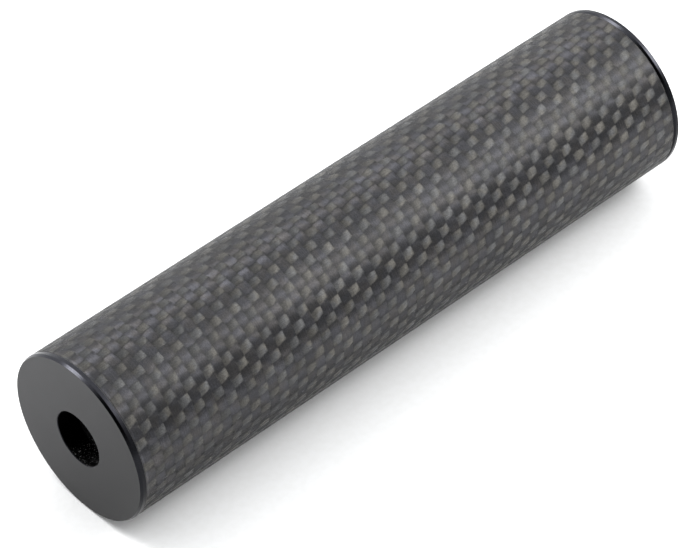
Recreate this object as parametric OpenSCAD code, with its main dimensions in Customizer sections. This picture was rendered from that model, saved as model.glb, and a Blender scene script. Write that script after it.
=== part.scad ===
// Inert display model of a cylindrical suppressor's outside.
// It is solid from end to end: the recess is blind, both plugs are closed, a dowel fills the sleeve,
// and nothing is threaded or passes through. The tube lies along X with its front face at -X.

/* [Body] */
// Outside diameter of the sleeve and of both flanges
body_d = 32; // [28:0.5:40]
// Length from the front face to the rear flange's face
body_l = 127.5; // [100:0.5:160]
// Wall thickness of the carbon sleeve
sleeve_wall = 1.6; // [1.2:0.1:2.4]

/* [End caps] */
// Thickness of each flange
flange_t = 1.25; // [1:0.05:2.5]
// Length of each solid plug inside the sleeve
plug_l = 18; // [16:0.5:24]
// Width of the wide chamfer, at the front flange's face and on the rear flange beside the sleeve
wide_chamfer_w = 0.5; // [0.3:0.05:0.5]
// Depth of the wide chamfer
wide_chamfer_d = 0.25; // [0.1:0.05:0.4]
// Edge break on the front flange beside the sleeve
front_joint_break = 0.06; // [0.06:0.02:0.2]
// Edge break at the rear flange's face
rear_edge_break = 0.15; // [0.1:0.05:0.3]
// Gap that the adhesive fills between a plug and the sleeve
bond_gap = 0.05; // [0.02:0.01:0.1]

/* [Front recess] */
// Diameter of the blind recess
recess_d = 10.6; // [6:0.1:14]
// Depth of the blind recess, down to the foam pad
recess_depth = 4; // [3:0.5:8]
// Edge break at the recess's mouth
recess_break = 0.15; // [0.1:0.05:0.3]
// Thickness of the foam pad, which fills a closed pocket under the recess
pad_t = 4; // [2:0.5:5]
// Width of the shoulder round the foam pad
pad_shoulder = 0.4; // [0.2:0.1:1]

/* [Rear boss] */
// Diameter of the solid boss
boss_d = 18.4; // [14:0.2:22]
// Height of the solid boss
boss_h = 4.8; // [3:0.2:8]
// Chamfer round the boss's end
boss_chamfer = 0.5; // [0.2:0.1:1]

/* [Bond lines] */
// Thickness of the adhesive line between each flange and the sleeve
bond_t = 0.1; // [0.1:0.05:0.4]
// How far the adhesive line lies below the flange's edge
bond_inset = 0.03; // [0.01:0.01:0.2]
// Edge break on the sleeve's ends
sleeve_break = 0.1; // [0.08:0.02:0.2]

/* [Hidden] */
$fn = 128;

body_r = body_d / 2;
bore_r = body_r - sleeve_wall;
plug_r = bore_r - bond_gap;
recess_r = recess_d / 2;
pad_r = recess_r - pad_shoulder;
boss_r = boss_d / 2;
wide_cut = [wide_chamfer_w, wide_chamfer_d];
front_joint_cut = [front_joint_break, front_joint_break];
rear_edge_cut = [rear_edge_break, rear_edge_break];

// Stations along X, with the whole length centred on the origin
overall_l = body_l + boss_h;
front_x = -overall_l / 2;
front_seat_x = front_x + flange_t;
front_plug_x = front_seat_x + plug_l;
boss_end_x = overall_l / 2;
rear_face_x = boss_end_x - boss_h;
rear_seat_x = rear_face_x - flange_t;
rear_plug_x = rear_seat_x - plug_l;
pad_x = front_x + recess_depth;
pocket_end_x = pad_x + pad_t;

// A body of revolution lying along X and resting on Z = 0.
// Each outline point is [station along X, radius].
module turned(outline) {
    translate([0, 0, body_r])
        rotate([0, 90, 0])
            rotate_extrude()
                polygon([for (p = outline) [p[1], p[0]]]);
}

// Outline of a flange's rim between two stations. Each edge is cut by [width along X, depth].
function flange_rim(from_x, to_x, from_cut, to_cut) = [
    [from_x, body_r - from_cut[1]],
    [from_x + from_cut[0], body_r],
    [to_x - to_cut[0], body_r],
    [to_x, body_r - to_cut[1]]
];

// Woven carbon tube, open only to the two plugs that close it
module carbon_sleeve() {
    from_x = front_seat_x + bond_t;
    to_x = rear_seat_x - bond_t;
    color([0.13, 0.13, 0.135])
        turned([
            [from_x, bore_r],
            [from_x, body_r - sleeve_break],
            [from_x + sleeve_break, body_r],
            [to_x - sleeve_break, body_r],
            [to_x, body_r - sleeve_break],
            [to_x, bore_r]
        ]);
}

// Front flange and solid plug. The recess and the pad's pocket stop short of the plug's end.
module front_cap() {
    color([0.16, 0.16, 0.17])
        turned(concat(
            [
                [pocket_end_x, 0],
                [pocket_end_x, pad_r],
                [pad_x, pad_r],
                [pad_x, recess_r],
                [front_x + recess_break, recess_r],
                [front_x, recess_r + recess_break]
            ],
            flange_rim(front_x, front_seat_x, wide_cut, front_joint_cut),
            [
                [front_seat_x, plug_r],
                [front_plug_x, plug_r],
                [front_plug_x, 0]
            ]
        ));
}

// Rear flange, solid plug and plain solid boss
module rear_cap() {
    color([0.16, 0.16, 0.17])
        turned(concat(
            [
                [rear_plug_x, 0],
                [rear_plug_x, plug_r],
                [rear_seat_x, plug_r]
            ],
            flange_rim(rear_seat_x, rear_face_x, wide_cut, rear_edge_cut),
            [
                [rear_face_x, boss_r],
                [boss_end_x - boss_chamfer, boss_r],
                [boss_end_x, boss_r - boss_chamfer],
                [boss_end_x, 0]
            ]
        ));
}

// Dowel that fills the sleeve from plug to plug
module filler_core() {
    color([0.62, 0.47, 0.3])
        turned([
            [front_plug_x, 0],
            [front_plug_x, plug_r],
            [rear_plug_x, plug_r],
            [rear_plug_x, 0]
        ]);
}

// Foam disc that fills the pocket under the recess
module recess_pad() {
    color([0.03, 0.03, 0.03])
        turned([
            [pad_x, 0],
            [pad_x, pad_r],
            [pocket_end_x, pad_r],
            [pocket_end_x, 0]
        ]);
}

// Adhesive squeezed between a flange and the sleeve's end
module bond_line(from_x, flange_cut) {
    bond_r = body_r - flange_cut[1] - bond_inset;
    color([0.02, 0.02, 0.02])
        turned([
            [from_x, plug_r],
            [from_x, bond_r],
            [from_x + bond_t, bond_r],
            [from_x + bond_t, plug_r]
        ]);
}

carbon_sleeve();
front_cap();
rear_cap();
filler_core();
recess_pad();
bond_line(front_seat_x, front_joint_cut);  // front_bond_line
bond_line(rear_seat_x - bond_t, wide_cut);  // rear_bond_line
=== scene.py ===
"""Looks for an inert display model: a plain-weave carbon sleeve between two black anodised end caps.

The tube lies along X on Z = 0, with the face that has the blind recess towards -X.
Lengths are in metres. An angle round the tube is 0 at the top and grows towards -Y.
"""

import math

import bpy
import numpy as np
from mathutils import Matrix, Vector, noise


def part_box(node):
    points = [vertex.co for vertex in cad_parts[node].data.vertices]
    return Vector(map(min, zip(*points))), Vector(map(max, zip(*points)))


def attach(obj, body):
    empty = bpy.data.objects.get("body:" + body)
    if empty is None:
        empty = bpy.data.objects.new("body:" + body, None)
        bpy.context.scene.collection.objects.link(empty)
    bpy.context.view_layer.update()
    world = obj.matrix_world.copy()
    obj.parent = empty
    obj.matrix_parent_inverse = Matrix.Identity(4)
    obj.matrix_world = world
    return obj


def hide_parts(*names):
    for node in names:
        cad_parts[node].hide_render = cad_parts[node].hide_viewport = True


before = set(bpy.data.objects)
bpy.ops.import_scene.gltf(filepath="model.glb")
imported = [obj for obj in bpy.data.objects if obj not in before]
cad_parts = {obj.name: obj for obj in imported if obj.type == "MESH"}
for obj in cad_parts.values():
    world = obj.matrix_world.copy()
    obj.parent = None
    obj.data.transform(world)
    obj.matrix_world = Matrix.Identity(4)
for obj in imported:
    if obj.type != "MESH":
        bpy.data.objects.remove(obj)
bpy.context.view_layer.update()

# Places and sizes that come from the CAD frame
SLEEVE_LOW, SLEEVE_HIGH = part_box("carbon_sleeve")
CORE_LOW, CORE_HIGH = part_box("filler_core")
PAD_LOW, PAD_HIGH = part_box("recess_pad")
FRONT_LOW, FRONT_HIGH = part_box("front_cap")
TUBE_R = (SLEEVE_HIGH.z - SLEEVE_LOW.z) / 2
AXIS_Z = (SLEEVE_HIGH.z + SLEEVE_LOW.z) / 2
PAD_R = (PAD_HIGH.z - PAD_LOW.z) / 2
PAD_SHOULDER = 0.0004
RECESS_R = PAD_R + PAD_SHOULDER
BOND_GAP = 0.00005
BORE_R = (CORE_HIGH.z - CORE_LOW.z) / 2 + BOND_GAP

# The cloth: 48 tows around, and a column of crossings every TOW_PITCH along the tube
TOWS_AROUND = 48
TOW_PITCH = 0.0021144
TOW_ANGLE = 2 * math.pi / TOWS_AROUND
FIRST_COLUMN = 0.000185
WEAVE_START = FRONT_LOW.x + FIRST_COLUMN - TOW_PITCH / 2
WEAVE_TURN = TOW_ANGLE / 2
TOW_ROUNDNESS = 2.5
STEPS_PER_TOW = 5
RELIEF = 0.000014
SLEEVE_EDGE = 0.0001

# The finer weave in the cloth's material. Its axial tows run askew, and its hoop tows are flatter.
AXIAL_ROUNDNESS = TOW_ROUNDNESS * 0.85
HOOP_ROUNDNESS = TOW_ROUNDNESS * 0.4
TOW_SKEW = 0.24
TOW_WANDER = 0.26
FIBRE_RELIEF = 0.000058
GRAIN_RELIEF = 0.000004
UNEVENNESS = 0.00004

# The foam pad
FOAM_RINGS = 44
FOAM_SEGMENTS = 132
FOAM_CELL = 0.00055
FOAM_PIT = 0.0005

# Reflectance of the fibres that run along the tube, and of those that run around it. The first has the
# warm cast of lit tows and the second the cool cast of shaded ones, as painted light.
AXIAL_COLOUR_LIT_WARM = (0.0540, 0.0526, 0.0500)
HOOP_COLOUR_SHADED_COOL = (0.0478, 0.0460, 0.0492)
COOL_CAST = (0.96, 0.99, 1.05)
WARM_CAST = (1.04, 1.01, 0.95)

# Colours of the caps, the foam, the adhesive, the dowel and the floor
RIM_COLOUR = (0.0245, 0.0248, 0.0285)
FACE_COLOUR = (0.0205, 0.0200, 0.0212)
# Painted shade: the recess wall is near black, far darker than the anodising around it
RECESS_PAINTED_SHADE = (0.0008, 0.0008, 0.0008)
METAL_DUST = (0.10, 0.10, 0.10)
FOAM_CELLS = (0.0010, 0.0010, 0.0012)
FOAM_STRUTS = (0.003, 0.003, 0.003)
FOAM_DUST = (0.12, 0.12, 0.12)
EPOXY_DARK = (0.030, 0.030, 0.032)
EPOXY_LIGHT = (0.055, 0.055, 0.057)
EARLY_WOOD = (0.52, 0.34, 0.19)
LATE_WOOD = (0.38, 0.23, 0.12)
PAPER_DARK = (0.89, 0.89, 0.885)
PAPER_LIGHT = (0.92, 0.92, 0.918)
PAPER_GLOW = 0.045

# Angles round the tube: towards the low side of the recess where its dust specks lie and light falls, and
# towards the side of the caps painted paler as painted light
LIT_DUST_SIDE = math.radians(143)
PAINTED_LIGHT_SIDE = math.radians(-60)

# The studio: a white room, brighter towards one side, with a dark patch on the camera's side
BRIGHT_SIDE = (0.50, 0.65, 0.45)
ROOM_COLOUR = (0.97, 0.985, 1.0)
ROOM_BRIGHT = 1.75
ROOM_DIM = 0.60
DARK_SIDE = (-0.45, -0.53, 0.72)
ROOM_DARK = 0.08

# The soft key light with its brighter core, and a light farther off, behind the tube's front end
KEY_PLACE = (0.28, -0.20, 0.38)
KEY_SIZE = 0.34
KEY_RADIANCE = 2.7
CORE_PLACE = (0.304, -0.192, 0.352)
CORE_SIZE = 0.165
CORE_RADIANCE = 8.5
BACK_PLACE = (-0.36, 0.79, 1.08)
BACK_SIZE = 0.56
BACK_RADIANCE = 11.5

# The camera
CAMERA_AZIMUTH = math.radians(-43.02)
CAMERA_ELEVATION = math.radians(44.65)
CAMERA_DISTANCE = 0.7034
CAMERA_TARGET = Vector((-0.00647, -0.00227, 0.01602))
CAMERA_LENS = 209.2
CAMERA_SENSOR = 36.0


def ring(x, radius, angles):
    """Points of one ring round the tube's axis. The radius is one number or one for each angle."""
    ones = np.ones_like(angles)
    return np.stack(
        [x * ones, -radius * np.sin(angles), AXIS_Z + radius * np.cos(angles)], axis=1
    )


def skin(rings, closed):
    """Points and quads of a surface through rings of equal size, joined end to end if it is closed."""
    count = len(rings[0])
    spans = len(rings) if closed else len(rings) - 1
    here = np.arange(count)
    after = (here + 1) % count
    faces = []
    for i in range(spans):
        a = i * count
        b = ((i + 1) % len(rings)) * count
        faces.append(np.stack([a + here, a + after, b + after, b + here], axis=1))
    return np.concatenate(rings), np.concatenate(faces)


def mesh_piece(name, points, faces, sharp_angle):
    """A smooth-shaded object, with sharp edges where its faces meet at more than an angle."""
    mesh = bpy.data.meshes.new(name)
    mesh.from_pydata(points.tolist(), [], [list(face) for face in faces])
    mesh.polygons.foreach_set("use_smooth", [True] * len(mesh.polygons))
    mesh.set_sharp_from_angle(angle=sharp_angle)
    mesh.validate()
    piece = bpy.data.objects.new(name, mesh)
    bpy.context.scene.collection.objects.link(piece)
    return piece


# Shapes


def weave_height(x, angles):
    """The cloth's height: 1 on the crown of a tow, and -TOW_ROUNDNESS in the pits between tows."""
    along = (x - WEAVE_START) / TOW_PITCH
    around = (angles - WEAVE_TURN) / TOW_ANGLE
    side = 1 - 2 * ((np.floor(along) + np.floor(around)) % 2)
    u = along - np.floor(along) - 0.5
    v = around - np.floor(around) - 0.5
    axial = side * np.cos(math.pi * u) - TOW_ROUNDNESS * (2 * v) ** 2
    hoop = -side * np.cos(math.pi * v) - TOW_ROUNDNESS * (2 * u) ** 2
    return np.maximum(axial, hoop)


def sleeve_stations():
    """Stations along the sleeve between its edges, in line with the tows."""
    step = TOW_PITCH / STEPS_PER_TOW
    low = SLEEVE_LOW.x + SLEEVE_EDGE
    high = SLEEVE_HIGH.x - SLEEVE_EDGE
    first = math.ceil((low - WEAVE_START) / step + 0.3)
    last = math.floor((high - WEAVE_START) / step - 0.3)
    return [low, *(WEAVE_START + i * step for i in range(first, last + 1)), high]


def build_sleeve():
    """The woven tube, with its relief in the mesh, its rounded ends and its bore."""
    count = TOWS_AROUND * STEPS_PER_TOW
    angles = WEAVE_TURN + np.arange(count) * TOW_ANGLE / STEPS_PER_TOW
    rings = []
    for x in sleeve_stations():
        radius = TUBE_R - RELIEF * (1 - weave_height(x, angles))
        rings.append(ring(x, radius, angles))
    edge_angles = [math.radians(a) for a in (30, 60, 90)]
    for a in edge_angles:
        drop = SLEEVE_EDGE * (1 - math.cos(a)) + RELIEF
        inset = SLEEVE_EDGE * math.sin(a)
        rings.insert(0, ring(SLEEVE_LOW.x + SLEEVE_EDGE - inset, TUBE_R - drop, angles))
        rings.append(ring(SLEEVE_HIGH.x - SLEEVE_EDGE + inset, TUBE_R - drop, angles))
    rings.append(ring(SLEEVE_HIGH.x, BORE_R, angles))
    rings.append(ring(SLEEVE_LOW.x, BORE_R, angles))
    points, faces = skin(rings, closed=True)
    return mesh_piece("sleeve_woven", points, faces, math.radians(50))


def foam_pit(y, z):
    """Depth of the open cells at a point of the foam's face, from 0 on a strut to 1 in a cell."""
    place = Vector((y / FOAM_CELL, z / FOAM_CELL, 0.5))
    near, second = noise.voronoi(place)[0][:2]
    wall = min(1.0, (second - near) / 0.45)
    return wall * wall * (3 - 2 * wall)


def build_foam():
    """The foam pad: an open-celled face towards the recess, on a plain closed disc."""
    angles = np.arange(FOAM_SEGMENTS) * 2 * math.pi / FOAM_SEGMENTS
    rings = []
    for i in range(1, FOAM_RINGS + 1):
        points = ring(PAD_LOW.x, PAD_R * i / FOAM_RINGS, angles)
        if i < FOAM_RINGS:
            for point in points:
                point[0] += FOAM_PIT * foam_pit(point[1], point[2] - AXIS_Z)
        rings.append(points)
    rings.append(ring(PAD_HIGH.x, PAD_R, angles))
    rings.append(ring(PAD_HIGH.x, PAD_R / FOAM_RINGS, angles))
    points, faces = skin(rings, closed=False)
    centres = [[PAD_LOW.x, 0, AXIS_Z], [PAD_HIGH.x, 0, AXIS_Z]]
    front_centre, back_centre = len(points), len(points) + 1
    back_ring = len(points) - FOAM_SEGMENTS
    caps = []
    for i in range(FOAM_SEGMENTS):
        j = (i + 1) % FOAM_SEGMENTS
        caps.append([front_centre, j, i])
        caps.append([back_centre, back_ring + i, back_ring + j])
    points = np.concatenate([points, centres])
    return mesh_piece("recess_foam", points, [*faces.tolist(), *caps], math.radians(60))


# Materials


class Graph:
    """A material's nodes. Each call adds a node and returns the socket that carries its result."""

    def __init__(self, name):
        self.material = bpy.data.materials.new(name)
        self.material.use_nodes = True
        self.tree = self.material.node_tree
        self.shader = self.tree.nodes["Principled BSDF"]

    def put(self, socket, value):
        """Links a socket to a result, or sets it to a number or a colour."""
        if isinstance(value, bpy.types.NodeSocket):
            self.tree.links.new(value, socket)
        elif isinstance(value, tuple) and socket.type == "RGBA":
            socket.default_value = (*value, 1.0)
        else:
            socket.default_value = value

    def surface(self, **values):
        """Sets the shader's own inputs. An underscore in a name stands for a space."""
        for name, value in values.items():
            self.put(self.shader.inputs[name.replace("_", " ")], value)

    def node(self, kind, *values, **settings):
        """A new node, with its first inputs and its settings filled in."""
        node = self.tree.nodes.new("ShaderNode" + kind)
        for name, value in settings.items():
            setattr(node, name, value)
        for socket, value in zip(node.inputs, values):
            self.put(socket, value)
        return node

    def math(self, operation, *values):
        return self.node("Math", *values, operation=operation).outputs[0]

    def add(self, a, b):
        return self.math("ADD", a, b)

    def subtract(self, a, b):
        return self.math("SUBTRACT", a, b)

    def times(self, a, b):
        return self.math("MULTIPLY", a, b)

    def ramp(self, value, low, high, to_low=0.0, to_high=1.0):
        """A smooth step from to_low to to_high, as the value goes from low to high."""
        node = self.node("MapRange", value, low, high, to_low, to_high, interpolation_type="SMOOTHSTEP")
        return node.outputs[0]

    def mix(self, factor, a, b):
        """A number between a and b."""
        node = self.node("Mix", data_type="FLOAT")
        for name, value in (("Factor_Float", factor), ("A_Float", a), ("B_Float", b)):
            self.put(find_input(node, name), value)
        return node.outputs[0]

    def mix_colour(self, factor, a, b):
        node = self.node("Mix", data_type="RGBA")
        for name, value in (("Factor_Float", factor), ("A_Color", a), ("B_Color", b)):
            self.put(find_input(node, name), value)
        return find_output(node, "Result_Color")

    def scale_colour(self, colour, factor):
        node = self.node("VectorMath", colour, operation="SCALE")
        self.put(node.inputs["Scale"], factor)
        return node.outputs[0]

    def vector(self, x, y, z):
        return self.node("CombineXYZ", x, y, z).outputs[0]

    def object_xyz(self):
        """The point on the object, which is also its place in the row frame."""
        coordinates = self.node("TexCoord")
        return self.node("SeparateXYZ", coordinates.outputs["Object"]).outputs

    def normal_xyz(self):
        coordinates = self.node("TexCoord")
        return self.node("SeparateXYZ", coordinates.outputs["Normal"]).outputs

    def noise(self, place, scale, detail=2.0, roughness=0.5):
        node = self.node("TexNoise")
        values = {"Vector": place, "Scale": scale, "Detail": detail, "Roughness": roughness}
        for name, value in values.items():
            self.put(node.inputs[name], value)
        return node.outputs[0]

    def object_noise(self, scale, detail=2.0, roughness=0.5):
        """Noise over the object, with scale cells to a metre."""
        place = self.node("TexCoord").outputs["Object"]
        return self.noise(place, scale, detail, roughness)

    def random(self, number):
        """A steady random value for each whole number."""
        node = self.node("TexWhiteNoise", noise_dimensions="1D")
        self.put(node.inputs["W"], number)
        return node.outputs[0]

    def bump(self, height):
        """The surface's normal with a height in metres laid on it."""
        node = self.node("Bump")
        self.put(node.inputs["Strength"], 1.0)
        self.put(node.inputs["Distance"], 1.0)
        self.put(node.inputs["Height"], height)
        return node.outputs[0]


def find_input(node, identifier):
    return next(socket for socket in node.inputs if socket.identifier == identifier)


def find_output(node, identifier):
    return next(socket for socket in node.outputs if socket.identifier == identifier)


def weave_cell(g, place):
    """Whole and leftover part of a place counted in tows. The leftover part is 0 at the tow's middle."""
    whole = g.math("FLOOR", place)
    return whole, g.subtract(g.subtract(place, whole), 0.5)


def woven_carbon():
    """Plain-weave carbon cloth under satin resin. Each tow's highlight spreads across its fibres."""
    g = Graph("woven_carbon")
    x, y, z = g.object_xyz()
    up = g.subtract(z, AXIS_Z)
    angle = g.math("ARCTAN2", g.times(y, -1), up)
    arc = g.times(angle, TUBE_R)
    sway = g.times(g.subtract(g.object_noise(420, 2), 0.5), TOW_WANDER)
    drift = g.times(g.subtract(g.object_noise(530, 2), 0.5), TOW_WANDER)
    column, u = weave_cell(g, g.add(g.math("DIVIDE", g.subtract(x, WEAVE_START), TOW_PITCH), sway))
    row, v = weave_cell(g, g.add(g.math("DIVIDE", g.subtract(angle, WEAVE_TURN), TOW_ANGLE), drift))
    odd = g.math("FLOORED_MODULO", g.add(row, column), 2)
    side = g.subtract(1, g.times(odd, 2))

    def tow(sign, along, across, roundness):
        """A tow's height: it rises and dips along its run, and falls away to both of its edges."""
        crown = g.times(sign, g.math("COSINE", g.times(along, math.pi)))
        edge = g.math("POWER", g.math("ABSOLUTE", g.times(across, 2)), 2)
        return g.subtract(crown, g.times(edge, roundness))

    axial = tow(side, u, g.add(v, g.times(u, TOW_SKEW)), AXIAL_ROUNDNESS)
    hoop = tow(g.times(side, -1), v, u, HOOP_ROUNDNESS)
    over = g.ramp(g.subtract(axial, hoop), -0.8, 0.7)
    relief = g.math("MAXIMUM", axial, hoop)

    long_grain, fine_grain = 350, 9000
    axial_grain = g.noise(g.vector(g.times(x, long_grain), g.times(arc, fine_grain), 0), 1)
    hoop_grain = g.noise(g.vector(g.times(x, fine_grain), g.times(arc, long_grain), 7), 1)
    grain = g.mix(over, hoop_grain, axial_grain)
    tone = g.mix(over, g.random(column), g.random(g.add(row, 500)))
    patch = g.random(g.add(column, g.times(row, 97)))
    dust = g.object_noise(4200, 3, 0.7)
    cloud = g.object_noise(90, 3)

    # The warm cast of the along-tube tows and the cool cast of the hoop tows are painted light
    colour = g.mix_colour(over, HOOP_COLOUR_SHADED_COOL, AXIAL_COLOUR_LIT_WARM)
    cast = g.mix_colour(g.ramp(g.object_noise(380, 2), 0.38, 0.62), COOL_CAST, WARM_CAST)
    colour = g.node("VectorMath", colour, cast, operation="MULTIPLY").outputs[0]
    shade = g.times(g.ramp(tone, 0, 1, 0.9, 1.1), g.ramp(grain, 0.25, 0.75, 0.75, 1.25))
    shade = g.times(shade, g.ramp(cloud, 0.3, 0.7, 0.92, 1.08))
    shade = g.times(shade, g.ramp(patch, 0, 1, 0.84, 1.16))
    shade = g.times(shade, g.ramp(dust, 0.38, 0.62, 0.78, 1.22))
    # Painted shade with darker resin: the cloth darkens towards the pits between tows
    shade = g.times(shade, g.ramp(relief, -1.2, 0.7, 0.6, 1.0))
    # A painted highlight: a paler line where the cloth ends at the front flange, standing in for the
    # glint off its edge
    shade = g.times(shade, g.ramp(g.subtract(x, SLEEVE_LOW.x), 0.0002, 0.0006, 1.7, 1.0))
    fibre_bump = g.add(g.times(relief, FIBRE_RELIEF), g.times(grain, GRAIN_RELIEF))
    fibre_bump = g.add(fibre_bump, g.times(g.object_noise(520, 2), UNEVENNESS))
    across_axial = g.node("VectorMath", g.vector(0, up, g.times(y, -1)), operation="NORMALIZE").outputs[0]
    across_hoop = g.vector(1, 0, 0)
    tangent = g.node("Mix", data_type="VECTOR")
    g.put(find_input(tangent, "Factor_Float"), over)
    g.put(find_input(tangent, "A_Vector"), across_hoop)
    g.put(find_input(tangent, "B_Vector"), across_axial)
    g.surface(
        Base_Color=g.scale_colour(colour, shade),
        Metallic=1.0,
        Roughness=g.ramp(grain, 0.2, 0.8, 0.42, 0.50),
        Anisotropic=1.0,
        Tangent=find_output(tangent, "Result_Vector"),
        Normal=g.bump(fibre_bump),
        Coat_Weight=0.75,
        Coat_Roughness=0.45,
        Coat_IOR=1.33,
        Specular_Tint=(0.2, 0.2, 0.2),
    )
    return g.material


def towards(g, angle):
    """How far a point lies from the axis towards an angle round the tube, in metres."""
    x, y, z = g.object_xyz()
    up = g.times(g.subtract(z, AXIS_Z), math.cos(angle))
    return g.subtract(up, g.times(y, math.sin(angle)))


def dust_on_lit_side(g):
    """How much dust lies at a point of the recess: none at its top, and most low on the side where light
    falls into it, so the specks are dust with painted light.
    """
    return g.ramp(towards(g, LIT_DUST_SIDE), 0.001, 0.0035)


def black_anodised():
    """Black anodised aluminium with painted light and shade: paler towards one side, blasted faces,
    smoother rims, and a recess painted near black as shade.
    """
    g = Graph("black_anodised")
    x, y, z = g.object_xyz()
    facing = g.math("ABSOLUTE", g.normal_xyz()[0])
    blasted = g.ramp(facing, 0.9, 0.99)
    radius = g.math("SQRT", g.add(g.math("POWER", y, 2), g.math("POWER", g.subtract(z, AXIS_Z), 2)))
    recess = g.times(g.ramp(radius, RECESS_R * 1.005, RECESS_R * 1.015, 1, 0), g.math("LESS_THAN", x, 0))
    grain = g.object_noise(6500, 3, 0.6)
    cloud = g.object_noise(160, 3)
    # Dust specks kept to the lit low side of the recess: dust and painted light
    speck = g.times(g.times(recess, dust_on_lit_side(g)), g.ramp(g.object_noise(3800, 2), 0.58, 0.68))

    plain = g.math("MAXIMUM", blasted, recess)
    colour = g.mix_colour(blasted, RIM_COLOUR, FACE_COLOUR)
    shade = g.times(g.ramp(grain, 0.35, 0.65, 0.82, 1.18), g.ramp(cloud, 0.3, 0.7, 0.94, 1.06))
    # Painted light and shade: the caps are paler towards one side round the tube and darker towards the
    # other, rims as well as faces
    shade = g.times(shade, g.ramp(towards(g, PAINTED_LIGHT_SIDE), -TUBE_R, TUBE_R, 0.5, 1.5))
    # Painted shade: the recess wall is made near black where shade falls into it
    colour = g.mix_colour(recess, g.scale_colour(colour, shade), RECESS_PAINTED_SHADE)
    rough = g.mix(blasted, g.ramp(cloud, 0.3, 0.7, 0.20, 0.24), g.ramp(grain, 0.3, 0.7, 0.42, 0.52))
    depth = g.mix(blasted, 0.0000004, 0.000006)
    g.surface(
        Base_Color=g.mix_colour(speck, colour, METAL_DUST),
        Metallic=g.math("MAXIMUM", g.subtract(recess, speck), g.subtract(1, plain)),
        Roughness=g.mix(recess, rough, 0.6),
        Normal=g.bump(g.times(grain, depth)),
        IOR=1.36,
        Specular_Tint=(0.85, 0.85, 0.85),
    )
    return g.material


def black_foam():
    """Open-celled black foam: dull, with struts a little lighter than the cells."""
    g = Graph("black_foam")
    fine = g.object_noise(5200, 4, 0.65)
    # Dust specks kept to the lit low side of the recess: dust and painted light
    speck = g.times(dust_on_lit_side(g), g.ramp(g.object_noise(2600, 2), 0.58, 0.68))
    colour = g.mix_colour(g.ramp(fine, 0.35, 0.7), FOAM_CELLS, FOAM_STRUTS)
    colour = g.mix_colour(speck, colour, FOAM_DUST)
    g.surface(
        Base_Color=colour,
        Specular_IOR_Level=0.1,
        Roughness=g.ramp(fine, 0.3, 0.7, 0.75, 0.95),
        Normal=g.bump(g.times(fine, 0.00008)),
    )
    return g.material


def black_epoxy():
    """Cured adhesive: dark, with a faintly uneven skin."""
    g = Graph("black_epoxy")
    skin_noise = g.object_noise(2200, 3)
    g.surface(
        Base_Color=g.mix_colour(g.ramp(skin_noise, 0.3, 0.7), EPOXY_DARK, EPOXY_LIGHT),
        Roughness=g.ramp(skin_noise, 0.3, 0.7, 0.35, 0.6),
        Normal=g.bump(g.times(skin_noise, 0.00002)),
    )
    return g.material


def hardwood_dowel():
    """Plain beech: growth rings round a centre beside the dowel, and short flecks along the grain."""
    g = Graph("hardwood_dowel")
    x, y, z = g.object_xyz()
    bend = g.times(g.object_noise(60, 2), 0.004)
    off_y = g.add(g.add(y, 0.03), bend)
    growth = g.math("SQRT", g.add(g.math("POWER", off_y, 2), g.math("POWER", z, 2)))
    rings = g.math("SINE", g.times(growth, 2 * math.pi / 0.0028))
    fleck = g.noise(g.vector(g.times(x, 260), g.times(y, 3200), g.times(z, 3200)), 1, 3)
    colour = g.mix_colour(g.ramp(rings, -1, 1), EARLY_WOOD, LATE_WOOD)
    g.surface(
        Base_Color=g.scale_colour(colour, g.ramp(fleck, 0.3, 0.7, 0.85, 1.12)),
        Roughness=g.ramp(fleck, 0.3, 0.7, 0.55, 0.75),
        Normal=g.bump(g.times(fleck, 0.00004)),
    )
    return g.material


def white_floor():
    """Matt white paper, with the little light of its own that a whitener gives it."""
    g = Graph("white_floor")
    fibre = g.object_noise(700, 4)
    g.surface(
        Base_Color=g.mix_colour(g.ramp(fibre, 0.3, 0.7), PAPER_DARK, PAPER_LIGHT),
        Roughness=0.9,
        Specular_IOR_Level=0.1,
        Emission_Color=(1.0, 1.0, 1.0),
        Emission_Strength=PAPER_GLOW,
        Normal=g.bump(g.times(fibre, 0.00002)),
    )
    return g.material


def finish_node(name, material):
    """Gives a CAD node that stays a detailed material."""
    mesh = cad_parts[name].data
    mesh.materials.clear()
    mesh.materials.append(material)


# The studio


def build_floor():
    """A plain pale sheet, far wider than any view of the tube."""
    half = 3.0
    corners = np.array([[-half, -half, 0], [half, -half, 0], [half, half, 0], [-half, half, 0]])
    floor = mesh_piece("floor", corners, [[0, 1, 2, 3]], math.radians(30))
    floor.data.materials.append(white_floor())


def add_light(name, place, size, radiance):
    """A square soft light of even radiance that looks at the tube's middle."""
    data = bpy.data.lights.new(name, "AREA")
    data.shape = "SQUARE"
    data.size = size
    data.energy = radiance * math.pi * size ** 2
    light = bpy.data.objects.new(name, data)
    light.location = place
    light.rotation_mode = "QUATERNION"
    light.rotation_quaternion = (Vector((0, 0, AXIS_Z)) - Vector(place)).to_track_quat("-Z", "Y")
    bpy.context.scene.collection.objects.link(light)


def falloff(tree, side, limits, levels):
    """A level that changes smoothly as a direction turns towards one side of the room."""
    direction = tree.nodes.new("ShaderNodeTexCoord").outputs["Generated"]
    facing = tree.nodes.new("ShaderNodeVectorMath")
    facing.operation = "DOT_PRODUCT"
    facing.inputs[1].default_value = Vector(side).normalized()
    tree.links.new(direction, facing.inputs[0])
    level = tree.nodes.new("ShaderNodeMapRange")
    level.interpolation_type = "SMOOTHSTEP"
    for name, value in zip(("From Min", "From Max", "To Min", "To Max"), (*limits, *levels)):
        level.inputs[name].default_value = value
    tree.links.new(facing.outputs["Value"], level.inputs["Value"])
    return level.outputs["Result"]


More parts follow.
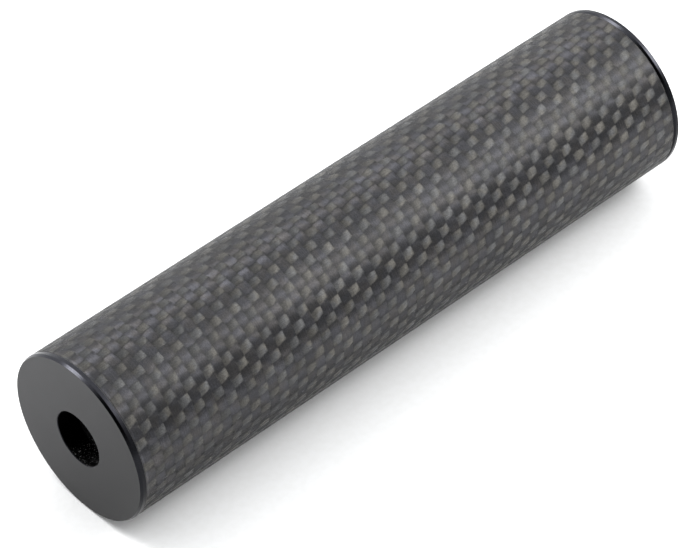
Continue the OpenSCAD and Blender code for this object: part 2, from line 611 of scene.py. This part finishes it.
def build_world():
    """The white room, as light that comes from every side."""
    world = bpy.data.worlds.new("studio")
    world.use_nodes = True
    tree = world.node_tree
    strength = tree.nodes.new("ShaderNodeMath")
    strength.operation = "MULTIPLY"
    walls = falloff(tree, BRIGHT_SIDE, (-0.4, 0.8), (ROOM_DIM, ROOM_BRIGHT))
    patch = falloff(tree, DARK_SIDE, (0.78, 0.93), (1.0, ROOM_DARK))
    tree.links.new(walls, strength.inputs[0])
    tree.links.new(patch, strength.inputs[1])
    background = tree.nodes["Background"]
    background.inputs["Color"].default_value = (*ROOM_COLOUR, 1.0)
    tree.links.new(strength.outputs[0], background.inputs["Strength"])
    bpy.context.scene.world = world


def build_camera():
    """A long lens above and in front of the tube's recessed end."""
    data = bpy.data.cameras.new("camera")
    data.lens = CAMERA_LENS
    data.sensor_width = CAMERA_SENSOR
    data.sensor_fit = "HORIZONTAL"
    data.clip_start = 0.01
    camera = bpy.data.objects.new("camera", data)
    flat = math.cos(CAMERA_ELEVATION)
    back = Vector((
        math.sin(CAMERA_AZIMUTH) * flat,
        -math.cos(CAMERA_AZIMUTH) * flat,
        math.sin(CAMERA_ELEVATION),
    ))
    camera.location = CAMERA_TARGET + back * CAMERA_DISTANCE
    camera.rotation_mode = "QUATERNION"
    camera.rotation_quaternion = (-back).to_track_quat("-Z", "Y")
    bpy.context.scene.collection.objects.link(camera)
    bpy.context.scene.camera = camera


build_camera()
build_floor()
build_world()
add_light("key", KEY_PLACE, KEY_SIZE, KEY_RADIANCE)
add_light("key_core", CORE_PLACE, CORE_SIZE, CORE_RADIANCE)
add_light("back", BACK_PLACE, BACK_SIZE, BACK_RADIANCE)
bpy.context.scene.view_settings.view_transform = "Standard"

sleeve = build_sleeve()
sleeve.data.materials.append(woven_carbon())
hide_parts("carbon_sleeve")
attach(sleeve, "root")

foam = build_foam()
foam.data.materials.append(black_foam())
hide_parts("recess_pad")
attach(foam, "root")

anodised = black_anodised()
epoxy = black_epoxy()
finish_node("front_cap", anodised)
finish_node("rear_cap", anodised)
finish_node("front_bond_line", epoxy)
finish_node("rear_bond_line", epoxy)
finish_node("filler_core", hardwood_dowel())
